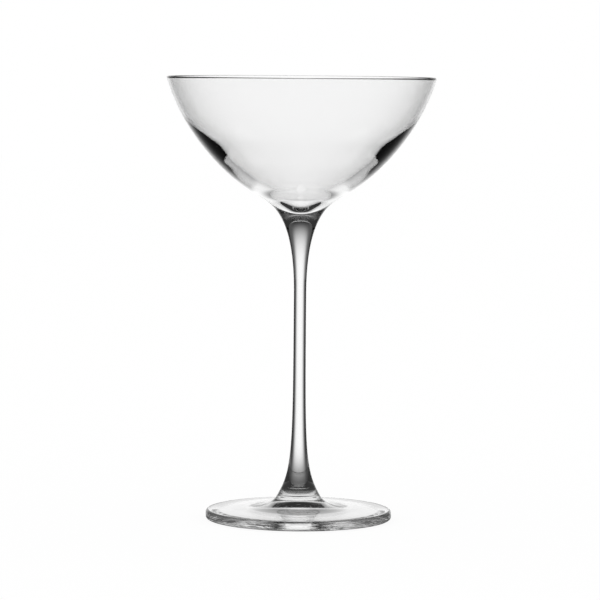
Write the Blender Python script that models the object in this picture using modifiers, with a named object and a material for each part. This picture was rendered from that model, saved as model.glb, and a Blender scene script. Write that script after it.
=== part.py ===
"""Cocktail coupe: a stemmed glass made as a bowl, a stem and a foot that are fused end to end.

Metres, +Z up. The origin is the middle of the foot's underside, on the table.
Every piece is turned about the Z axis from an outline in the XZ plane.
"""
import math

import bpy
from mathutils import Vector

# Overall sizes
HEIGHT = 0.173
RIM_RADIUS = 0.0525
FOOT_RADIUS = 0.0364

# Outside of the bowl, from the rim down to the neck where it turns into the stem's flare
BOWL_DEPTH = 0.0465
RIM_TILT = math.radians(16.0)
RIM_EASE = 0.455
NECK_RADIUS = 0.0164
NECK_TILT = math.radians(61.2)
NECK_EASE_ABOVE = 0.335

# Wall of the bowl: even under the rim, quickly thicker to the belly, then slowly thicker to the heel
WALL_AT_RIM = 0.0010
WALL_AT_SHOULDER = 0.00134
WALL_AT_BELLY = 0.00282
WALL_AT_HIP = 0.00350
WALL_AT_HEEL = 0.00415
WALL_AT_NECK = 0.00404

# Where those stages end, as shares of the outside curve, and how softly they meet
SHOULDER_SHARE = 0.341
BELLY_SHARE = 0.541
HIP_SHARE = 0.725
HEEL_SHARE = 0.967
SHOULDER_EASE = 0.098
BELLY_EASE = 0.069
HIP_EASE = 0.06
HEEL_EASE = 0.045

# Floor of the bowl, over the solid glass at the joint
BASE_THICKNESS = 0.00366
FLOOR_EASE_OUTSIDE = 0.883
FLOOR_EASE_MIDDLE = 0.255

# Stem: thinnest at its waist, flared to the bowl above and to the foot below
WAIST_HEIGHT = 0.0888
WAIST_RADIUS = 0.00242
NECK_EASE_BELOW = 0.156
WAIST_EASE_ABOVE = 0.80
WAIST_EASE_BELOW = 0.79

# Foot: a disc with a trumpet boss and a rounded edge, hollow underneath and with a kick in the middle
BOSS_RADIUS = 0.0086
BOSS_RISE = 0.00414
BOSS_TILT = math.radians(29.9)
BOSS_EASE = 0.156
DISC_CROWN = 0.00098
EDGE_THICKNESS = 0.0037
EDGE_ROUND = 0.0011
FILLET_REACH = 0.0134
FILLET_EASE = 0.366
BEARING_WIDTH = 0.0044
HOLLOW_RISE = 0.00103
HOLLOW_POWER = 2.26
KICK_RISE = 0.00354
KICK_REACH = 0.0111

# Fused joints: flat faces, square to the axis
NECK_LENGTH = 0.0083
FOOT_JOINT_RISE = 0.0135
JOINT_GAP = 0.0003

# Facets
ROUND_STEPS = 64
STEM_STEPS = 40
WALL_POINTS = 20
FLOOR_POINTS = 8
LIP_POINTS = 6
NECK_POINTS = 5
FLARE_POINTS = 10
BOSS_POINTS = 5
FILLET_POINTS = 6
EDGE_POINTS = 4
UNDERSIDE_POINTS = 9
AXIS_MERGE = 0.00001

# Clear colourless glass
GLASS_COLOUR = (0.97, 0.98, 0.98, 1.0)
GLASS_ROUGHNESS = 0.02
GLASS_INDEX = 1.5

# Heights that follow from the sizes above
NECK_HEIGHT = HEIGHT - BOWL_DEPTH
BOWL_JOINT_HEIGHT = NECK_HEIGHT - NECK_LENGTH
DISC_HEIGHT = EDGE_THICKNESS + DISC_CROWN
BOSS_HEIGHT = DISC_HEIGHT + BOSS_RISE
FOOT_JOINT_HEIGHT = DISC_HEIGHT + FOOT_JOINT_RISE


def heading(tilt):
    """Unit step down the outside of the glass, leaning in towards the axis by tilt."""
    return Vector((-math.sin(tilt), -math.cos(tilt)))


def smooth_stretch(start, start_tilt, start_pull, end, end_tilt, end_pull):
    """Control points of a cubic curve that leaves start and reaches end at the given tilts."""
    return (start, start + heading(start_tilt) * start_pull, end - heading(end_tilt) * end_pull, end)


def point_on(curve, share):
    """Point at a share from 0 to 1 of a cubic curve."""
    rest = 1.0 - share
    weights = (rest ** 3, 3 * rest ** 2 * share, 3 * rest * share ** 2, share ** 3)
    return sum((point * weight for point, weight in zip(curve, weights)), Vector((0.0, 0.0)))


def direction_on(curve, share):
    """Unit direction of travel at a share of a cubic curve."""
    rest = 1.0 - share
    weights = (rest ** 2, 2 * rest * share, share ** 2)
    legs = (curve[1] - curve[0], curve[2] - curve[1], curve[3] - curve[2])
    return sum((leg * weight for leg, weight in zip(legs, weights)), Vector((0.0, 0.0))).normalized()


def share_at_height(curve, height):
    """Share of a falling curve at which it crosses a height."""
    low, high = 0.0, 1.0
    for _ in range(40):
        middle = 0.5 * (low + high)
        if point_on(curve, middle).y > height:
            low = middle
        else:
            high = middle
    return 0.5 * (low + high)


def points_between(curve, first, last, count):
    """Evenly spread points on a curve, both ends included."""
    return [point_on(curve, first + (last - first) * i / (count - 1)) for i in range(count)]


def arc(centre, radius, first_angle, last_angle, count):
    """Points of a circular arc in the outline's plane."""
    angles = [first_angle + (last_angle - first_angle) * i / (count - 1) for i in range(count)]
    return [centre + Vector((math.cos(a), math.sin(a))) * radius for a in angles]


def bowl_curve():
    """Outside of the bowl, from just under the lip to the neck."""
    lip = WALL_AT_RIM / 2
    lip_centre = Vector((RIM_RADIUS - lip, HEIGHT - lip))
    start = lip_centre + Vector((math.cos(RIM_TILT), -math.sin(RIM_TILT))) * lip
    neck = Vector((NECK_RADIUS, NECK_HEIGHT))
    return smooth_stretch(start, RIM_TILT, RIM_EASE * BOWL_DEPTH, neck, NECK_TILT, NECK_EASE_ABOVE * BOWL_DEPTH)


def upper_flare():
    """Outside from the bowl's neck down to the stem's waist."""
    neck = Vector((NECK_RADIUS, NECK_HEIGHT))
    waist = Vector((WAIST_RADIUS, WAIST_HEIGHT))
    length = NECK_HEIGHT - WAIST_HEIGHT
    return smooth_stretch(neck, NECK_TILT, NECK_EASE_BELOW * length, waist, 0.0, WAIST_EASE_ABOVE * length)


def lower_flare():
    """Outside from the stem's waist down to the boss on the foot."""
    waist = Vector((WAIST_RADIUS, WAIST_HEIGHT))
    boss = Vector((BOSS_RADIUS, BOSS_HEIGHT))
    length = WAIST_HEIGHT - BOSS_HEIGHT
    return smooth_stretch(waist, 0.0, WAIST_EASE_BELOW * length, boss, -BOSS_TILT, BOSS_EASE * length)


def eased_ramp(step, ease):
    """Nothing before a step and a straight rise after it, with a rounded start."""
    if step <= -ease:
        return 0.0
    if step >= ease:
        return step
    return (step + ease) ** 2 / (4 * ease)


def wall_thickness(share):
    """Thickness of the bowl's wall at a share of the way from the rim to the neck."""
    ends = (0.0, SHOULDER_SHARE, BELLY_SHARE, HIP_SHARE, HEEL_SHARE, 1.0)
    eases = (0.0, SHOULDER_EASE, BELLY_EASE, HIP_EASE, HEEL_EASE)
    walls = (WALL_AT_RIM, WALL_AT_SHOULDER, WALL_AT_BELLY, WALL_AT_HIP, WALL_AT_HEEL, WALL_AT_NECK)
    thickness, last_rate = WALL_AT_RIM, 0.0
    for i, ease in enumerate(eases):
        rate = (walls[i + 1] - walls[i]) / (ends[i + 1] - ends[i])
        thickness += (rate - last_rate) * eased_ramp(share - ends[i], ease)
        last_rate = rate
    return thickness


def inner_wall_point(curve, share):
    """Point on the inside of the bowl, square to the outside at a share of its curve."""
    direction = direction_on(curve, share)
    inwards = Vector((direction.y, -direction.x))
    return point_on(curve, share) + inwards * wall_thickness(share)


def floor_curve(outside):
    """Inside of the bowl from the foot of the wall, on along its slope, to the middle of the floor."""
    start = inner_wall_point(outside, 1.0)
    slope = (start - inner_wall_point(outside, 0.999)).normalized()
    middle = Vector((0.0, BOWL_JOINT_HEIGHT + BASE_THICKNESS))
    leaving = start + slope * (FLOOR_EASE_OUTSIDE * start.x)
    arriving = middle + Vector((FLOOR_EASE_MIDDLE * start.x, 0.0))
    return (start, leaving, arriving, middle)


def bowl_outline():
    """Up the inside from the middle of the floor, over the lip and down the outside to the joint."""
    outside = bowl_curve()
    neck = upper_flare()
    shares = [i / (WALL_POINTS - 1) for i in range(WALL_POINTS)]
    inside = [inner_wall_point(outside, share) for share in shares]
    floor = points_between(floor_curve(outside), 0.0, 1.0, FLOOR_POINTS)
    lip = WALL_AT_RIM / 2
    lip_centre = Vector((RIM_RADIUS - lip, HEIGHT - lip))
    rounded = arc(lip_centre, lip, math.pi - RIM_TILT, -RIM_TILT, LIP_POINTS)
    joint = share_at_height(neck, BOWL_JOINT_HEIGHT)
    outline = floor[:0:-1] + inside[:0:-1] + rounded
    outline += points_between(outside, 0.0, 1.0, WALL_POINTS)[1:]
    outline += points_between(neck, 0.0, joint, NECK_POINTS)[1:]
    return outline + [Vector((0.0, BOWL_JOINT_HEIGHT))]


def stem_outline():
    """Down the outside of the drawn rod, between its two flat joint faces."""
    above = upper_flare()
    below = lower_flare()
    top = BOWL_JOINT_HEIGHT - JOINT_GAP
    bottom = FOOT_JOINT_HEIGHT + JOINT_GAP
    outline = [Vector((0.0, top))]
    outline += points_between(above, share_at_height(above, top), 1.0, FLARE_POINTS)
    outline += points_between(below, 0.0, share_at_height(below, bottom), FLARE_POINTS)[1:]
    return outline + [Vector((0.0, bottom))]


def disc_top():
    """Fillet from the boss out to the gently crowned top of the disc."""
    boss = Vector((BOSS_RADIUS, BOSS_HEIGHT))
    disc = Vector((BOSS_RADIUS + FILLET_REACH, DISC_HEIGHT))
    slope = math.atan2(DISC_CROWN, FOOT_RADIUS - EDGE_ROUND - disc.x)
    pull = FILLET_EASE * FILLET_REACH
    return smooth_stretch(boss, -BOSS_TILT, pull, disc, slope - math.pi / 2, pull)


def underside(hollow_radius):
    """From the inside of the bearing ring up the hollow to the middle of the kick."""
    points = []
    for i in range(UNDERSIDE_POINTS + 1):
        share = 1.0 - i / UNDERSIDE_POINTS
        radius = hollow_radius * share
        hollow = HOLLOW_RISE * (1.0 - share ** HOLLOW_POWER)
        kick = KICK_RISE * math.exp(-(radius / KICK_REACH) ** 2) * (1.0 - share ** 2)
        points.append(Vector((radius, hollow + kick)))
    return points


def foot_outline():
    """Down the boss, across the top of the disc, round its edge and in under the hollow."""
    boss = lower_flare()
    joint = share_at_height(boss, FOOT_JOINT_HEIGHT)
    outline = [Vector((0.0, FOOT_JOINT_HEIGHT))]
    outline += points_between(boss, joint, 1.0, BOSS_POINTS)
    outline += points_between(disc_top(), 0.0, 1.0, FILLET_POINTS)[1:]
    edge = FOOT_RADIUS - EDGE_ROUND
    outline += arc(Vector((edge, EDGE_THICKNESS - EDGE_ROUND)), EDGE_ROUND, math.pi / 2, 0.0, EDGE_POINTS)
    outline += arc(Vector((edge, EDGE_ROUND)), EDGE_ROUND, 0.0, -math.pi / 2, EDGE_POINTS)
    return outline + underside(edge - BEARING_WIDTH)


def clear_glass(name):
    """Clear, colourless, polished glass."""
    material = bpy.data.materials.new(name)
    material.use_nodes = True
    shader = material.node_tree.nodes["Principled BSDF"]
    shader.inputs["Base Color"].default_value = GLASS_COLOUR
    shader.inputs["Roughness"].default_value = GLASS_ROUGHNESS
    shader.inputs["Metallic"].default_value = 0.0
    shader.inputs["IOR"].default_value = GLASS_INDEX
    shader.inputs["Transmission Weight"].default_value = 1.0
    return material


def turned_piece(name, outline, steps, collection):
    """One solid of revolution about Z, from an outline that starts and ends on the axis."""
    mesh = bpy.data.meshes.new(name)
    edges = [(i, i + 1) for i in range(len(outline) - 1)]
    mesh.from_pydata([(point.x, 0.0, point.y) for point in outline], edges, [])
    mesh.materials.append(clear_glass(name + " glass"))
    piece = bpy.data.objects.new(name, mesh)
    collection.objects.link(piece)
    turn = piece.modifiers.new("Turn", "SCREW")
    turn.axis = "Z"
    turn.angle = 2 * math.pi
    turn.steps = steps
    turn.render_steps = steps
    turn.use_merge_vertices = True
    turn.merge_threshold = AXIS_MERGE
    turn.use_smooth_shade = True
    return piece


def main():
    for old in list(bpy.data.objects):
        bpy.data.objects.remove(old, do_unlink=True)
    collection = bpy.data.collections.new("Cocktail coupe")
    bpy.context.scene.collection.children.link(collection)
    turned_piece("bowl", bowl_outline(), ROUND_STEPS, collection)
    turned_piece("stem", stem_outline(), STEM_STEPS, collection)
    turned_piece("foot", foot_outline(), ROUND_STEPS, collection)


main()
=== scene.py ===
"""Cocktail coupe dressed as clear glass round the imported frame.

Metres, +Z up. The origin is the middle of the foot's underside, on the table. The bowl, the stem and the
foot are turned about the Z axis from outlines of radius and height, and meet at their fused joints.
"""
import math

import bmesh
import bpy
from bpy.props import FloatProperty, FloatVectorProperty, IntProperty, PointerProperty
from bpy.types import Operator, Panel, PropertyGroup
from mathutils import Matrix, Vector


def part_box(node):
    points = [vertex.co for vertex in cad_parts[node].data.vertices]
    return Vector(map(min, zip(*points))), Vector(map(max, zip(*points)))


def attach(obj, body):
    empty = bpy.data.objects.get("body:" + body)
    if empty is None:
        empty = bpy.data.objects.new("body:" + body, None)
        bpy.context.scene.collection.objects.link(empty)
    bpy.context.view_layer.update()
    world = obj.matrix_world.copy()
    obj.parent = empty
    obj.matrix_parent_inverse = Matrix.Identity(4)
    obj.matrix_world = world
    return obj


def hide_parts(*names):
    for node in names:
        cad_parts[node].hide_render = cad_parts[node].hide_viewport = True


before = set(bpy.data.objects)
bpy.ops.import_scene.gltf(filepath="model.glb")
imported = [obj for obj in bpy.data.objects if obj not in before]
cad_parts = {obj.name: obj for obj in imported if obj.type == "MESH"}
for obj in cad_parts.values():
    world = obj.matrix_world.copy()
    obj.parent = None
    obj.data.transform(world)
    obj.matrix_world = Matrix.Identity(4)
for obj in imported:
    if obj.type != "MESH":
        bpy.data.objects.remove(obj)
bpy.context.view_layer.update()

bl_info = {
    "name": "Cocktail coupe",
    "version": (1, 0, 0),
    "blender": (4, 5, 0),
    "location": "3D View > Sidebar > Coupe",
    "description": "Builds a clear stemmed cocktail glass from a bowl, a stem and a foot",
    "category": "Add Mesh",
}

BOWL_LOW, BOWL_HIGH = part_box("bowl")
STEM_LOW, STEM_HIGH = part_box("stem")
_, FOOT_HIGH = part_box("foot")

# Heights of the fused joints, halfway between the faces of the two solids that meet there
BOWL_JOINT = 0.5 * (BOWL_LOW.z + STEM_HIGH.z)
FOOT_JOINT = 0.5 * (FOOT_HIGH.z + STEM_LOW.z)

# Where the stages of the bowl's wall end, as shares of its outside curve, and how softly they meet
SHOULDER_SHARE, SHOULDER_EASE = 0.341, 0.098
BELLY_SHARE, BELLY_EASE = 0.541, 0.069
HIP_SHARE, HIP_EASE = 0.725, 0.060
HEEL_SHARE, HEEL_EASE = 0.967, 0.045

# Points along the outlines
WALL_POINTS = 120
FLOOR_POINTS = 40
LIP_POINTS = 17
NECK_POINTS = 28
FLARE_POINTS = 60
BOSS_POINTS = 24
FILLET_POINTS = 30
DISC_POINTS = 10
EDGE_POINTS = 10
UNDERSIDE_POINTS = 60

# Fewest facets round a piece
LEAST_STEPS = 24

# Share of a curve over which its direction is measured, and halvings that find where it crosses a height
CURVE_STEP = 0.001
HALVINGS = 40

# Directions in an outline's plane, and how near the axis a point counts as on it
UP, DOWN, INWARDS = Vector((0.0, 1.0)), Vector((0.0, -1.0)), Vector((-1.0, 0.0))
SQUARE = math.pi / 2
ON_AXIS = 1e-7

# Width of the soft corner round the hollow under the foot
HOLLOW_CORNER = 0.0002

# How ripples, and the painted highlight streaks in the foot's edge, are squeezed along X, Y and Z: flat in
# the bowl, drawn out along the stem, thin in the foot
BLOWN = (1.0, 1.0, 2.5)
DRAWN = (1.0, 1.0, 0.15)
PRESSED = (0.2, 0.2, 9.0)

# Keeps a point's place over the table and drops its height
LEVEL = (1.0, 1.0, 0.0)

# Sizes of the lumps in the smears, in the ripples and in the painted highlight streaks, and how far the lumps
# are broken up
SMEAR_SIZE = 0.02
RIPPLE_SIZE = 0.006
LUMP_DETAIL = 2.0

# Sockets of a node that mixes two colours
MIX_FIRST, MIX_SECOND, MIX_RESULT = 6, 7, 2

# How far the taller ripples and the painted highlight streaks reach in from the edge of the foot, and how
# softly they start there
STREAK_REACH = 0.0003
STREAK_EDGE = 0.0001

# Where in the ripples the painted highlight streaks start, and how softly: there the foot's edge turns
# see-through and shows the white floor
PAINTED_GLINT_MIDDLE = 0.5
PAINTED_GLINT_EDGE = 0.03

# The one material of the faces at both joints
JOINT_MATERIAL = "fused joint"

# The floor is a square that lies just under the foot
FLOOR_HEIGHT = -0.0002
FLOOR_CORNERS = ((-1, -1), (1, -1), (1, 1), (-1, 1))

# Corners of the faces of the floor, and of the sweep's floor and back
FLOOR_FACES = ((0, 1, 2, 3),)
SWEEP_FACES = ((0, 1, 2, 3), (3, 2, 4, 5))

# Distance added to the one that softens the edges of the light, so that they are soft at the axis too
NEAR_BLUR = 0.02

# Rays that have met the glass, and how often light may bounce: more bounces turn the dark crescents grey
GLASS_RAYS = ("Is Glossy Ray", "Is Transmission Ray")
BOUNCES = 12


def length(name, description, default):
    """A size in metres."""
    return FloatProperty(name=name, description=description, default=default, unit="LENGTH", precision=5)


def share(name, description, default):
    """A plain share, from 0 to 1."""
    return FloatProperty(
        name=name, description=description, default=default, min=0.0, max=1.0, subtype="FACTOR"
    )


def amount(name, description, default):
    """A plain number."""
    return FloatProperty(name=name, description=description, default=default, precision=4)


def angle(name, description, degrees):
    """An angle, given in degrees and kept in radians."""
    return FloatProperty(name=name, description=description, default=math.radians(degrees), unit="ROTATION")


def colour(name, description, default):
    """A linear colour."""
    return FloatVectorProperty(name=name, description=description, default=default, size=4, subtype="COLOR")


class CoupeBowl(PropertyGroup):
    """Sizes of the bowl"""

    height: length("Height", "Height of the rim over the table", BOWL_HIGH.z)
    rim_radius: length("Rim radius", "Outside radius of the rim", BOWL_HIGH.x)
    depth: length("Depth", "From the rim down to the neck", 0.0465)
    rim_tilt: angle("Rim tilt", "Lean of the wall at the rim", 16.0)
    rim_ease: share("Rim ease", "How far the wall keeps its lean below the rim", 0.455)
    neck_radius: length("Neck radius", "Outside radius where the bowl turns into the flare", 0.0164)
    neck_tilt: angle("Neck tilt", "Lean of the wall at the neck", 61.2)
    neck_ease: share("Neck ease", "How far the wall keeps its lean above the neck", 0.335)
    joint_height: length("Joint height", "Height of the joint with the stem", BOWL_JOINT)
    wall_at_rim: length("Wall at rim", "Thickness of the lip", 0.0010)
    lip_rise: length("Lip rise", "Height over which the lip is rounded", 0.0009)
    wall_at_shoulder: length("Wall at shoulder", "Thickness where the wall starts to thicken", 0.00134)
    wall_at_belly: length("Wall at belly", "Thickness where the fast growth ends", 0.00282)
    wall_at_hip: length("Wall at hip", "Thickness below the belly", 0.00350)
    wall_at_heel: length("Wall at heel", "Thickness above the neck", 0.00415)
    wall_at_neck: length("Wall at neck", "Thickness where the floor starts", 0.00404)
    floor_height: length("Floor height", "Height of the middle of the floor inside", 0.12186)
    floor_ease_out: share("Floor ease, outside", "How far the wall's slope runs on into the floor", 0.883)
    floor_ease_in: share("Floor ease, middle", "How flat the middle of the floor is", 0.255)
    steps: IntProperty(name="Steps", description="Facets round the bowl", default=160, min=LEAST_STEPS)


class CoupeStem(PropertyGroup):
    """Sizes of the stem"""

    waist_height: length("Waist height", "Height of the thinnest place", 0.0888)
    waist_radius: length("Waist radius", "Radius at the thinnest place", 0.00242)
    neck_ease: share("Neck ease", "How far the bowl's slope runs on down the flare", 0.156)
    waist_ease_above: share("Waist ease above", "How far the stem stays slim above the waist", 0.80)
    waist_ease_below: share("Waist ease below", "How far the stem stays slim below the waist", 0.79)
    boss_ease: share("Boss ease", "How far the boss's slope runs on up the stem", 0.156)
    steps: IntProperty(name="Steps", description="Facets round the stem", default=96, min=LEAST_STEPS)


class CoupeFoot(PropertyGroup):
    """Sizes of the foot"""

    radius: length("Radius", "Outside radius of the disc", FOOT_HIGH.x)
    joint_height: length("Joint height", "Height of the joint with the stem", FOOT_JOINT)
    boss_radius: length("Boss radius", "Radius where the boss meets the fillet", 0.0086)
    boss_height: length("Boss height", "Height where the boss meets the fillet", 0.00882)
    boss_tilt: angle("Boss tilt", "Lean of the boss where it meets the fillet", 29.9)
    fillet_reach: length("Fillet reach", "From the boss out to the flat of the disc", 0.0134)
    fillet_ease: share("Fillet ease", "How softly the fillet turns", 0.366)
    disc_height: length("Disc height", "Height of the disc where the fillet ends", 0.00468)
    edge_thickness: length("Edge thickness", "Height of the disc at its edge", 0.0037)
    edge_round: length("Edge round", "Radius of the rounded edge", 0.0011)
    bearing_width: length("Bearing width", "Width of the flat ring that stands on the table", 0.0044)
    hollow_rise: length("Hollow rise", "Height of the hollow under the disc", 0.00103)
    hollow_power: amount("Hollow power", "How evenly the hollow rises from the ring", 2.26)
    kick_rise: length("Kick rise", "Height of the kick in the middle of the hollow", 0.00354)
    kick_reach: length("Kick reach", "How far the kick reaches from the middle", 0.0111)
    steps: IntProperty(name="Steps", description="Facets round the foot", default=160, min=LEAST_STEPS)


class CoupeGlass(PropertyGroup):
    """Finish of the glass"""

    clear: colour("Clear", "Colour of the clear glass", (1.0, 1.0, 1.0, 1.0))
    clouded: colour("Clouded", "Colour of its faintest clouding", (0.998, 0.999, 0.999, 1.0))
    index: amount("Index", "Index of refraction of soda glass", 1.5)
    polish: amount("Polish", "Roughness where the polish is best", 0.0)
    smear: amount("Smear", "Roughness where the polish is dullest", 0.02)
    ripple: length("Ripple", "Height of the ripples that blowing and drawing leave", 0.000002)
    ring_rise: length("Ring rise", "Height of the rings round the boss of the foot", 0.00005)
    ring_step: length("Ring step", "Distance from one ring to the next", 0.0014)
    ring_place: length("Ring place", "Height of the middle ring above the table", 0.0090)
    ring_reach: length("Ring reach", "How far the rings reach above and below the middle one", 0.001)
    # Painted highlights: how far the streaks in the foot's edge let the white floor show through as bright
    # lines
    painted_glints: amount("Glints", "How see-through the bright streaks in the edge of the foot are", 0.75)
    streaks: amount("Streaks", "How much higher the ripples are round the edge of the foot", 20.0)


class CoupeStage(PropertyGroup):
    """Floor, light and camera"""

    floor_size: length("Floor size", "Side of the pale floor", 8.0)
    floor_colour: colour("Floor colour", "Colour of the pale floor", (0.98, 0.98, 0.98, 1.0))
    floor_glow: share("Floor glow", "Share of the floor's white that no shadow reaches", 0.92)
    light_colour: colour("Light colour", "Colour of the soft light all round", (1.0, 1.0, 1.0, 1.0))
    sweep_depth: length("Sweep depth", "How far behind the glass the sweep turns up", 3.4)
    sweep_drop: length("Sweep drop", "How far under the foot the sweep lies", 0.03)
    sweep_size: length("Sweep size", "How far the sweep reaches to the sides, the front and the top", 4.0)
    sweep_dark: amount("Dark", "Brightness off the sweep, and where no light falls on it", 0.03)
    room_dark: amount("Room dark", "Brightness of the dim room on the back of the sweep", 0.10)
    room_edge: length("Room edge", "How softly the room starts above the floor", 0.01)
    strip_glow: amount("Strip glow", "Brightness of the lit strip", 1.04)
    strip_width: amount("Strip width", "Half width of the lit strip for its distance", 0.447)
    strip_edge: amount("Strip edge", "How softly the lit strip ends at its sides", 0.08)
    strip_fade: length("Strip fade", "How softly the light behind fades upwards", 1.20208)
    strip_start: length("Strip start", "How far behind the glass the lit strip starts", 0.14)
    strip_rise: length("Strip rise", "How softly the lit strip starts", 0.044)
    side_glow: amount("Side glow", "Brightness of the floor beside the glass", 0.9)
    side_start: amount("Side start", "How far round the light beside starts", 2.6)
    side_edge: amount("Side edge", "How softly the light beside starts", 0.4)
    side_place: length("Side place", "How far from the glass the light beside is brightest", 0.126)
    side_reach: length("Side reach", "How far the light beside reaches from there", 0.042)
    side_fade: length("Side fade", "How softly the light beside ends to the front", 0.012)
    camera_place: FloatVectorProperty(
        name="Camera place",
        description="Where the camera stands",
        default=(0.0, -1.28488, 0.185304),
        unit="LENGTH",
    )
    camera_pitch: angle("Camera pitch", "How far the camera looks down", 4.4214)
    camera_roll: angle("Camera roll", "Lean of the camera, which leans the glass to the right", 0.45)
    camera_lens: amount("Lens", "Focal length in millimetres on a 36 mm sensor", 197.84)


class CoupeSettings(PropertyGroup):
    """Everything that a user would change"""

    bowl: PointerProperty(type=CoupeBowl)
    stem: PointerProperty(type=CoupeStem)
    foot: PointerProperty(type=CoupeFoot)
    glass: PointerProperty(type=CoupeGlass)
    stage: PointerProperty(type=CoupeStage)


# Shader maths


class Value:
    """A shader socket that adds Math nodes when it is used in an expression."""

    def __init__(self, nodes, socket):
        self.nodes = nodes
        self.socket = socket

    def maths(self, operation, *terms):
        """Adds one Math node and gives its result."""
        return self.nodes.add("ShaderNodeMath", {"operation": operation}, dict(enumerate(terms)), 0)

    def __add__(self, other):
        return self.maths("ADD", self, other)

    def __radd__(self, other):
        return self.maths("ADD", other, self)

    def __sub__(self, other):
        return self.maths("SUBTRACT", self, other)

    def __rsub__(self, other):
        return self.maths("SUBTRACT", other, self)

    def __mul__(self, other):
        return self.maths("MULTIPLY", self, other)

    def __rmul__(self, other):
        return self.maths("MULTIPLY", other, self)

    def __truediv__(self, other):
        return self.maths("DIVIDE", self, other)

    def __rtruediv__(self, other):
        return self.maths("DIVIDE", other, self)

    def __pow__(self, other):
        return self.maths("POWER", self, other)

    def __rpow__(self, other):
        return self.maths("POWER", other, self)

    def __abs__(self):
        return self.maths("ABSOLUTE", self)

    def wave(self):
        return self.maths("SINE", self)

    def at_least(self, least):
        return self.maths("MAXIMUM", self, least)


class Nodes:
    """The node tree of one material or world."""

    def __init__(self, owner):
        owner.use_nodes = True
        self.tree = owner.node_tree
        self.tree.nodes.clear()

    def add(self, kind, settings, sockets, output=0):
        """Adds a node, sets it up, fills its sockets with values or links and wraps one of its outputs."""
        node = self.tree.nodes.new(kind)
        for name, setting in settings.items():
            setattr(node, name, setting)
        for name, content in sockets.items():
            if isinstance(content, Value):
                self.tree.links.new(content.socket, node.inputs[name])
            else:
                node.inputs[name].default_value = content
        return Value(self, node.outputs[output]) if node.outputs else node


def object_point(nodes):
    """The point on a piece or on the sweep, in metres from the middle of the foot's underside."""
    return nodes.add("ShaderNodeTexCoord", {}, {}, "Object")


def stretched(nodes, point, scale):
    """The point with its axes scaled, so that a pattern on it is drawn out."""
    return nodes.add("ShaderNodeVectorMath", {"operation": "MULTIPLY"}, {0: point, 1: scale})


def cloud(nodes, point, size):
    """Soft noise from 0 to 1 whose lumps are about one size across."""
    sockets = {"Vector": point, "Scale": 1.0 / size, "Detail": LUMP_DETAIL}
    return nodes.add("ShaderNodeTexNoise", {}, sockets, "Fac")


def soft_step(value):
    """From 0 to 1 as a value goes from well below nothing to well above it."""
    return 1.0 / (1.0 + math.e ** (0.0 - value))


def hill(value):
    """1 where a value is nothing, and smoothly down to 0 away from it."""
    return math.e ** (0.0 - value * value)


def from_axis(nodes, point):
    """Distance from the axis."""
    level = stretched(nodes, point, LEVEL)
    return nodes.add("ShaderNodeVectorMath", {"operation": "LENGTH"}, {0: level}, "Value")


def glass_body(nodes, glass, point, relief, solidity):
    """Clear glass with faint smears, a relief in metres on its surface and a solidity from 0 to 1; where it
    is below 1 the white floor shows through as a painted highlight.
    """
    smear = cloud(nodes, point, SMEAR_SIZE)
    tints = {"Factor": smear, MIX_FIRST: tuple(glass.clear), MIX_SECOND: tuple(glass.clouded)}
    tint = nodes.add("ShaderNodeMix", {"data_type": "RGBA"}, tints, MIX_RESULT)
    normal = nodes.add("ShaderNodeBump", {}, {"Height": relief, "Distance": 1.0})
    return nodes.add(
        "ShaderNodeBsdfPrincipled",
        {},
        {
            "Base Color": tint,
            "Roughness": glass.polish + (glass.smear - glass.polish) * smear,
            "IOR": glass.index,
            "Transmission Weight": 1.0,
            "Alpha": solidity,
            "Normal": normal,
        },
    )


def clear_glass(name, glass, drawn_out):
    """Glass with faint ripples, drawn out along the way it was worked."""
    material = bpy.data.materials.new(name)
    nodes = Nodes(material)
    point = object_point(nodes)
    ripples = cloud(nodes, stretched(nodes, point, drawn_out), RIPPLE_SIZE)
    surface = glass_body(nodes, glass, point, glass.ripple * ripples, 1.0)
    nodes.add("ShaderNodeOutputMaterial", {}, {"Surface": surface})
    return material


def boss_rings(nodes, glass, point):
    """Low rings that drawing out the stem leaves round the boss of the foot."""
    height = nodes.add("ShaderNodeSeparateXYZ", {}, {"Vector": point}, "Z")
    below = glass.ring_place - height
    wave = (below * (2.0 * math.pi / glass.ring_step)).wave()
    return glass.ring_rise * wave * hill(below / glass.ring_reach)


def streaked_glass_with_painted_glints(name, glass, streaks_start):
    """Glass with rings round its boss, and with taller ripples and painted highlight streaks that start at a
    distance from the axis; the streaks are see-through and show the white floor.
    """
    material = bpy.data.materials.new(name)
    nodes = Nodes(material)
    point = object_point(nodes)
    lines = cloud(nodes, stretched(nodes, point, PRESSED), RIPPLE_SIZE)
    outside = soft_step((from_axis(nodes, point) - streaks_start) / STREAK_EDGE)
    ripples = glass.ripple * lines * (1.0 + glass.streaks * outside)
    relief = ripples + boss_rings(nodes, glass, point)
    # Painted highlights: where the ripples pass a level near the edge, the glass turns partly see-through and
    # the white floor shows as bright streaks
    bright = glass.painted_glints * outside * soft_step((lines - PAINTED_GLINT_MIDDLE) / PAINTED_GLINT_EDGE)
    surface = glass_body(nodes, glass, point, relief, 1.0 - bright)
    nodes.add("ShaderNodeOutputMaterial", {}, {"Surface": surface})
    return material


def fused_joint():
    """Inside the glass at a joint, where the fused pieces leave nothing to see."""
    material = bpy.data.materials.new(JOINT_MATERIAL)
    nodes = Nodes(material)
    nodes.add("ShaderNodeOutputMaterial", {}, {"Surface": nodes.add("ShaderNodeBsdfTransparent", {}, {})})
    return material


# Outlines: lists of a point and the way the outline runs there, with the glass to the left


def heading(tilt):
    """Unit step down the outside of the glass, leaning in towards the axis by tilt."""
    return Vector((-math.sin(tilt), -math.cos(tilt)))


def smooth_stretch(start, start_way, start_pull, end, end_way, end_pull):
    """Control points of a cubic curve that leaves start and reaches end along the given ways."""
    return (start, start + start_way * start_pull, end - end_way * end_pull, end)


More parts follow.
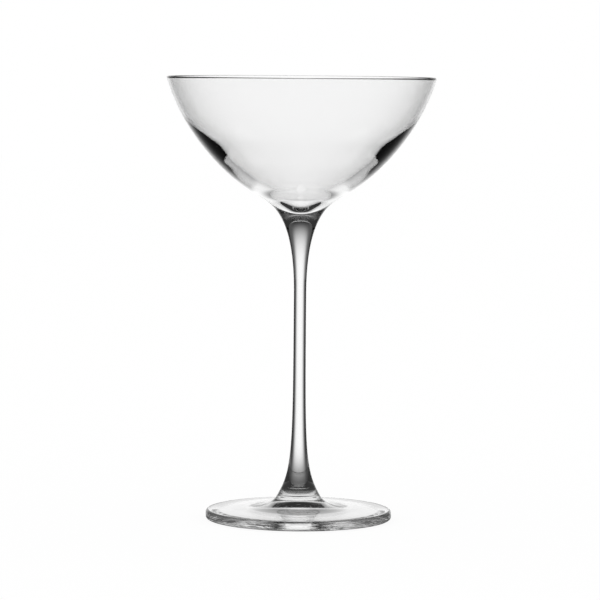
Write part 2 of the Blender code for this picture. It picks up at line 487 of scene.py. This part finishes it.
def point_on(curve, at):
    """Point at a share from 0 to 1 of a cubic curve."""
    rest = 1.0 - at
    weights = (rest ** 3, 3 * rest ** 2 * at, 3 * rest * at ** 2, at ** 3)
    return sum((point * weight for point, weight in zip(curve, weights)), Vector((0.0, 0.0)))


def way_on(curve, at):
    """Unit direction of travel at a share of a cubic curve."""
    rest = 1.0 - at
    weights = (rest ** 2, 2 * rest * at, at ** 2)
    legs = (curve[1] - curve[0], curve[2] - curve[1], curve[3] - curve[2])
    return sum((leg * weight for leg, weight in zip(legs, weights)), Vector((0.0, 0.0))).normalized()


def share_at_height(curve, height):
    """Share of a falling curve at which it crosses a height."""
    low, high = 0.0, 1.0
    for _ in range(HALVINGS):
        middle = 0.5 * (low + high)
        if point_on(curve, middle).y > height:
            low = middle
        else:
            high = middle
    return 0.5 * (low + high)


def spread(first, last, count):
    """Evenly spread numbers, both ends included."""
    return [first + (last - first) * i / (count - 1) for i in range(count)]


def stretch_outline(curve, first, last, count):
    """Outline along part of a curve."""
    return [(point_on(curve, at), way_on(curve, at)) for at in spread(first, last, count)]


def arc_outline(centre, radius, first_angle, last_angle, count):
    """Outline round a circular arc that turns clockwise."""
    angles = spread(first_angle, last_angle, count)
    spokes = [Vector((math.cos(a), math.sin(a))) for a in angles]
    return [(centre + spoke * radius, Vector((spoke.y, -spoke.x))) for spoke in spokes]


def turned_back(outline):
    """The same outline, travelled the other way."""
    return [(point, -way) for point, way in reversed(outline)]


# Bowl


def neck_point(bowl):
    """Point where the outside of the bowl turns into the flare."""
    return Vector((bowl.neck_radius, bowl.height - bowl.depth))


def lip_centre(bowl):
    """Middle of the lip, half its thickness in from the rim and down from the top."""
    lip = bowl.wall_at_rim / 2
    return Vector((bowl.rim_radius - lip, bowl.height - lip))


def bowl_curve(bowl):
    """Outside of the bowl, from just under the lip to the neck."""
    lip = bowl.wall_at_rim / 2
    start = lip_centre(bowl) + Vector((math.cos(bowl.rim_tilt), -math.sin(bowl.rim_tilt))) * lip
    pulls = bowl.rim_ease * bowl.depth, bowl.neck_ease * bowl.depth
    return smooth_stretch(
        start, heading(bowl.rim_tilt), pulls[0], neck_point(bowl), heading(bowl.neck_tilt), pulls[1]
    )


def upper_flare(bowl, stem):
    """Outside from the bowl's neck down to the stem's waist."""
    neck = neck_point(bowl)
    waist = Vector((stem.waist_radius, stem.waist_height))
    drop = neck.y - waist.y
    return smooth_stretch(
        neck, heading(bowl.neck_tilt), stem.neck_ease * drop, waist, DOWN, stem.waist_ease_above * drop
    )


def eased_ramp(step, ease):
    """Nothing before a step and a straight rise after it, with a rounded start."""
    if step <= -ease:
        return 0.0
    if step >= ease:
        return step
    return (step + ease) ** 2 / (4 * ease)


def wall_thickness(bowl, at):
    """Thickness of the bowl's wall at a share of the way from the rim to the neck."""
    ends = (0.0, SHOULDER_SHARE, BELLY_SHARE, HIP_SHARE, HEEL_SHARE, 1.0)
    eases = (0.0, SHOULDER_EASE, BELLY_EASE, HIP_EASE, HEEL_EASE)
    walls = (
        bowl.wall_at_rim,
        bowl.wall_at_shoulder,
        bowl.wall_at_belly,
        bowl.wall_at_hip,
        bowl.wall_at_heel,
        bowl.wall_at_neck,
    )
    thickness, last_rate = bowl.wall_at_rim, 0.0
    for i, ease in enumerate(eases):
        rate = (walls[i + 1] - walls[i]) / (ends[i + 1] - ends[i])
        thickness += (rate - last_rate) * eased_ramp(at - ends[i], ease)
        last_rate = rate
    return thickness


def inner_wall_point(bowl, curve, at):
    """Point on the inside of the bowl, square to the outside at a share of its curve."""
    way = way_on(curve, at)
    return point_on(curve, at) + Vector((way.y, -way.x)) * wall_thickness(bowl, at)


def inner_wall_outline(bowl, curve, first):
    """Outline down the inside of the wall, from the lip to the start of the floor."""
    outline = []
    for at in spread(first, 1.0, WALL_POINTS):
        before = inner_wall_point(bowl, curve, max(at - CURVE_STEP, 0.0))
        after = inner_wall_point(bowl, curve, min(at + CURVE_STEP, 1.0))
        outline.append((inner_wall_point(bowl, curve, at), (after - before).normalized()))
    return outline


def floor_outline(bowl, wall_end, wall_way):
    """Outline from the foot of the wall to the middle of the floor."""
    middle = Vector((0.0, bowl.floor_height))
    pulls = bowl.floor_ease_out * wall_end.x, bowl.floor_ease_in * wall_end.x
    curve = smooth_stretch(wall_end, wall_way, pulls[0], middle, INWARDS, pulls[1])
    return stretch_outline(curve, 0.0, 1.0, FLOOR_POINTS)


def lip_outline(bowl, inside, outside):
    """Outline over the lip, from the inside of the wall to the outside."""
    half = bowl.wall_at_rim / 2
    rise = (bowl.lip_rise - half * math.sin(bowl.rim_tilt)) / math.cos(bowl.rim_tilt)
    # A cubic curve with two equal pulls reaches three quarters of their length
    pull = rise * 4 / 3
    curve = smooth_stretch(inside[0], -inside[1], pull, outside[0], outside[1], pull)
    return stretch_outline(curve, 0.0, 1.0, LIP_POINTS)


def bowl_outline(bowl, stem):
    """Up the inside from the middle of the floor, over the lip and down the outside to the joint."""
    curve = bowl_curve(bowl)
    first = share_at_height(curve, bowl.height - bowl.lip_rise)
    outside = stretch_outline(curve, first, 1.0, WALL_POINTS)
    inside = inner_wall_outline(bowl, curve, first)
    floor = floor_outline(bowl, *inside[-1])
    neck = upper_flare(bowl, stem)
    outline = turned_back(inside[1:] + floor[1:]) + lip_outline(bowl, inside[0], outside[0]) + outside[1:]
    return outline + stretch_outline(neck, 0.0, share_at_height(neck, bowl.joint_height), NECK_POINTS)[1:]


# Stem


def lower_flare(stem, foot):
    """Outside from the stem's waist down to the boss on the foot."""
    waist = Vector((stem.waist_radius, stem.waist_height))
    boss = Vector((foot.boss_radius, foot.boss_height))
    drop = waist.y - boss.y
    return smooth_stretch(
        waist, DOWN, stem.waist_ease_below * drop, boss, heading(-foot.boss_tilt), stem.boss_ease * drop
    )


def stem_outline(bowl, stem, foot):
    """Down the outside of the drawn rod, from joint to joint."""
    above = upper_flare(bowl, stem)
    below = lower_flare(stem, foot)
    outline = stretch_outline(above, share_at_height(above, bowl.joint_height), 1.0, FLARE_POINTS)
    return outline + stretch_outline(below, 0.0, share_at_height(below, foot.joint_height), FLARE_POINTS)[1:]


# Foot


def disc_outline(foot):
    """From the boss over the fillet and across the gently crowned top of the disc."""
    boss = Vector((foot.boss_radius, foot.boss_height))
    flat = Vector((foot.boss_radius + foot.fillet_reach, foot.disc_height))
    edge = Vector((foot.radius - foot.edge_round, foot.edge_thickness))
    way = (edge - flat).normalized()
    pull = foot.fillet_ease * foot.fillet_reach
    fillet = smooth_stretch(boss, heading(-foot.boss_tilt), pull, flat, way, pull)
    top = [(flat.lerp(edge, at), way) for at in spread(0.0, 1.0, DISC_POINTS)]
    return stretch_outline(fillet, 0.0, 1.0, FILLET_POINTS) + top[1:-1]


def underside_point(foot, at):
    """Point of the underside at a share of the way out to the bearing ring."""
    radius = at * (foot.radius - foot.edge_round - foot.bearing_width)
    hollow = foot.hollow_rise * (1.0 - at ** foot.hollow_power)
    kick = foot.kick_rise * math.exp(-(radius / foot.kick_reach) ** 2) * (1.0 - at ** 2)
    return Vector((radius, hollow + kick))


def underside_outline(foot):
    """From the inside of the bearing ring, round its soft corner and up the hollow to the axis."""
    ring = underside_point(foot, 1.0)
    outline = [(ring - INWARDS * HOLLOW_CORNER, INWARDS)]
    for at in spread(1.0, 0.0, UNDERSIDE_POINTS):
        before = underside_point(foot, min(at + CURVE_STEP, 1.0))
        after = underside_point(foot, max(at - CURVE_STEP, 0.0))
        way = (after - before).normalized() if at > 0.0 else INWARDS
        outline.append((underside_point(foot, at), way))
    return outline


def foot_outline(stem, foot):
    """Down the boss, across the top of the disc, round its edge and in under the hollow."""
    boss = lower_flare(stem, foot)
    edge = foot.radius - foot.edge_round
    top_turn = Vector((edge, foot.edge_thickness - foot.edge_round))
    low_turn = Vector((edge, foot.edge_round))
    outline = stretch_outline(boss, share_at_height(boss, foot.joint_height), 1.0, BOSS_POINTS)
    outline += disc_outline(foot)[1:]
    outline += arc_outline(top_turn, foot.edge_round, SQUARE, 0.0, EDGE_POINTS)
    outline += arc_outline(low_turn, foot.edge_round, 0.0, -SQUARE, EDGE_POINTS)
    return outline + underside_outline(foot)


# Turning outlines into pieces


def turned_ring(build, point, facing, steps):
    """Vertices of one turn about the axis with their normals, or one vertex over and over on the axis."""
    if point.x < ON_AXIS:
        return [(build.verts.new((0.0, 0.0, point.y)), Vector((0.0, 0.0, facing.y)))] * steps
    ring = []
    for i in range(steps):
        turn = 2 * math.pi * i / steps
        spoke = Vector((math.cos(turn), math.sin(turn), 0.0))
        vertex = build.verts.new(spoke * point.x + Vector((0.0, 0.0, point.y)))
        ring.append((vertex, spoke * facing.x + Vector((0.0, 0.0, facing.y))))
    return ring


def span_rings(build, rings, material_index):
    """Faces between each ring and the next, facing out of the glass. Gives the normals of their corners."""
    normals = []
    for ring, after in zip(rings, rings[1:]):
        for i in range(len(ring)):
            j = (i + 1) % len(ring)
            # A dictionary keeps only one of the two corners that fall together on the axis
            corners = dict((ring[i], after[i], after[j], ring[j]))
            face = build.faces.new(tuple(corners))
            face.material_index = material_index
            face.smooth = True
            normals += corners.values()
    return normals


def cap_rings(build, ring, facing, steps):
    """A flat joint face, from the axis out to a ring, or back in to the axis if it faces down."""
    height = ring[0][0].co.z
    centre = turned_ring(build, Vector((0.0, height)), facing, steps)
    edge = [(vertex, Vector((0.0, 0.0, facing.y))) for vertex, _ in ring]
    return [centre, edge] if facing.y > 0.0 else [edge, centre]


def turned_mesh(name, outline, steps):
    """Mesh of an outline turned about the axis, with joint faces over the ends that don't reach the axis."""
    build = bmesh.new()
    rings = [turned_ring(build, point, Vector((-way.y, way.x)), steps) for point, way in outline]
    normals = span_rings(build, rings, 0)
    for ring, facing in ((rings[0], UP), (rings[-1], DOWN)):
        if ring[0][0] is not ring[1][0]:
            normals += span_rings(build, cap_rings(build, ring, facing, steps), 1)
    mesh = bpy.data.meshes.new(name)
    build.to_mesh(mesh)
    build.free()
    mesh.normals_split_custom_set(normals)
    return mesh


def make_piece(node, outline, steps, material):
    """Turns one piece of glass, which stands for its node of the frame."""
    name = "coupe_" + node
    mesh = turned_mesh(name, outline, steps)
    mesh.materials.append(material)
    mesh.materials.append(bpy.data.materials.get(JOINT_MATERIAL) or fused_joint())
    piece = bpy.data.objects.new(name, mesh)
    bpy.context.scene.collection.objects.link(piece)
    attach(piece, "root")
    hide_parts(node)
    return piece


# Stage


def plain_floor(stage):
    """Pale floor that shows white to the camera and keeps a soft shadow."""
    material = bpy.data.materials.new("pale floor")
    nodes = Nodes(material)
    shown = nodes.add("ShaderNodeLightPath", {}, {}, "Is Camera Ray")
    matt = nodes.add("ShaderNodeBsdfDiffuse", {}, {"Color": tuple(stage.floor_colour)})
    white = nodes.add("ShaderNodeEmission", {}, {"Color": tuple(stage.light_colour), "Strength": 1.0})
    surface = nodes.add("ShaderNodeMixShader", {}, {0: shown * stage.floor_glow, 1: matt, 2: white})
    nodes.add("ShaderNodeOutputMaterial", {}, {"Surface": surface})
    return material


def sweep_light(stage):
    """Light on the sweep: a strip that widens behind the glass, the floor beside it, and a dim room above."""
    material = bpy.data.materials.new("sweep light")
    nodes = Nodes(material)
    point = object_point(nodes)
    across, back, height = (nodes.add("ShaderNodeSeparateXYZ", {}, {"Vector": point}, axis) for axis in "XYZ")
    side = abs(across)
    away = (side * side + back * back) ** 0.5
    blur = away + NEAR_BLUR
    strip = soft_step((stage.strip_width * back - side) / (stage.strip_edge * blur))
    behind = stage.strip_glow * strip * hill(height.at_least(0.0) / stage.strip_fade)
    behind = behind * soft_step((back - stage.strip_start) / stage.strip_rise)
    beside = soft_step((side - stage.side_start * back) / (stage.side_edge * blur))
    beside = beside * soft_step(back / stage.side_fade) * hill((away - stage.side_place) / stage.side_reach)
    room = (stage.room_dark - stage.sweep_dark) * soft_step(height / stage.room_edge)
    bright = stage.sweep_dark + behind + (1.0 - strip) * (stage.side_glow * beside + room)
    light = nodes.add("ShaderNodeEmission", {}, {"Color": bright, "Strength": 1.0})
    nodes.add("ShaderNodeOutputMaterial", {}, {"Surface": light})
    return material


def make_sheet(name, corners, faces, material):
    """A sheet of the stage."""
    mesh = bpy.data.meshes.new(name)
    mesh.from_pydata(corners, [], faces)
    mesh.materials.append(material)
    sheet = bpy.data.objects.new(name, mesh)
    bpy.context.scene.collection.objects.link(sheet)
    return sheet


def make_camera(stage):
    """Camera at the photograph's angle."""
    camera = bpy.data.objects.new("camera", bpy.data.cameras.new("camera"))
    bpy.context.scene.collection.objects.link(camera)
    bpy.context.scene.camera = camera
    camera.data.lens = stage.camera_lens
    place = Matrix.Translation(Vector(stage.camera_place))
    pitch = Matrix.Rotation(SQUARE - stage.camera_pitch, 4, "X")
    roll = Matrix.Rotation(stage.camera_roll, 4, "Z")
    camera.matrix_world = place @ (pitch @ roll)
    return camera


def make_sweep(stage, camera):
    """Lit floor and background that go round the glass with the camera, and show only in the glass."""
    size, back, low = stage.sweep_size, stage.sweep_depth, -stage.sweep_drop
    front_corners = (-size, -size, low), (size, -size, low)
    turn_corners = (size, back, low), (-size, back, low)
    top_corners = (size, back, size), (-size, back, size)
    corners = front_corners + turn_corners + top_corners
    sweep = make_sheet("light_sweep", corners, SWEEP_FACES, sweep_light(stage))
    bpy.context.view_layer.update()
    sweep.parent = camera
    sweep.matrix_parent_inverse = camera.matrix_world.inverted()
    sweep.visible_camera = False
    sweep.visible_diffuse = False
    sweep.visible_shadow = False


def soft_light(stage):
    """White light from all round, but dark to the glass, which shows the sweep."""
    world = bpy.data.worlds.new("soft light")
    bpy.context.scene.world = world
    nodes = Nodes(world)
    rays = [nodes.add("ShaderNodeLightPath", {}, {}, ray) for ray in GLASS_RAYS]
    glass = rays[0].at_least(rays[1])
    strength = 1.0 - glass * (1.0 - stage.sweep_dark)
    light = nodes.add("ShaderNodeBackground", {}, {"Color": tuple(stage.light_colour), "Strength": strength})
    nodes.add("ShaderNodeOutputWorld", {}, {"Surface": light})


def let_light_through_glass(scene):
    """Lets light bounce often enough to find its way out of thick glass."""
    scene.cycles.max_bounces = BOUNCES
    scene.cycles.transmission_bounces = BOUNCES
    scene.cycles.glossy_bounces = BOUNCES
    scene.cycles.transparent_max_bounces = BOUNCES


# Operators


class COUPE_OT_bowl(Operator):
    """Turn the bowl, with its thin lip and its thick base"""

    bl_idname = "coupe.bowl"
    bl_label = "Bowl"

    def execute(self, context):
        coupe = context.scene.coupe
        outline = bowl_outline(coupe.bowl, coupe.stem)
        make_piece("bowl", outline, coupe.bowl.steps, clear_glass("blown glass", coupe.glass, BLOWN))
        return {"FINISHED"}


class COUPE_OT_stem(Operator):
    """Turn the drawn stem between the bowl and the foot"""

    bl_idname = "coupe.stem"
    bl_label = "Stem"

    def execute(self, context):
        coupe = context.scene.coupe
        outline = stem_outline(coupe.bowl, coupe.stem, coupe.foot)
        make_piece("stem", outline, coupe.stem.steps, clear_glass("drawn glass", coupe.glass, DRAWN))
        return {"FINISHED"}


class COUPE_OT_foot(Operator):
    """Turn the pressed foot with its boss"""

    bl_idname = "coupe.foot"
    bl_label = "Foot"

    def execute(self, context):
        coupe = context.scene.coupe
        outline = foot_outline(coupe.stem, coupe.foot)
        streaks_start = coupe.foot.radius - STREAK_REACH
        glass = streaked_glass_with_painted_glints("pressed glass with painted glints", coupe.glass, streaks_start)
        make_piece("foot", outline, coupe.foot.steps, glass)
        return {"FINISHED"}


class COUPE_OT_stage(Operator):
    """Set up the floor, the light and the camera"""

    bl_idname = "coupe.stage"
    bl_label = "Stage"

    def execute(self, context):
        stage = context.scene.coupe.stage
        half = stage.floor_size / 2
        corners = [(x * half, y * half, FLOOR_HEIGHT) for x, y in FLOOR_CORNERS]
        floor = make_sheet("floor", corners, FLOOR_FACES, plain_floor(stage))
        floor.visible_glossy = False
        floor.visible_transmission = False
        make_sweep(stage, make_camera(stage))
        soft_light(stage)
        let_light_through_glass(context.scene)
        context.scene.view_settings.view_transform = "Standard"
        return {"FINISHED"}


class COUPE_PT_pieces(Panel):
    """The pieces of the glass and its stage"""

    bl_idname = "COUPE_PT_pieces"
    bl_label = "Cocktail coupe"
    bl_space_type = "VIEW_3D"
    bl_region_type = "UI"
    bl_category = "Coupe"

    def draw(self, context):
        for operator in OPERATORS:
            self.layout.operator(operator.bl_idname)


GROUPS = (CoupeBowl, CoupeStem, CoupeFoot, CoupeGlass, CoupeStage, CoupeSettings)
OPERATORS = (COUPE_OT_bowl, COUPE_OT_stem, COUPE_OT_foot, COUPE_OT_stage)
CLASSES = GROUPS + OPERATORS + (COUPE_PT_pieces,)


def register():
    """Makes the settings, the operators and the panel known to Blender."""
    for each in CLASSES:
        bpy.utils.register_class(each)
    bpy.types.Scene.coupe = PointerProperty(type=CoupeSettings)


def unregister():
    """Takes the settings, the operators and the panel away again."""
    del bpy.types.Scene.coupe
    for each in reversed(CLASSES):
        bpy.utils.unregister_class(each)


def main():
    """Builds the glass and its stage."""
    register()
    bpy.ops.coupe.bowl()
    bpy.ops.coupe.stem()
    bpy.ops.coupe.foot()
    bpy.ops.coupe.stage()


if __name__ == "__main__":
    main()
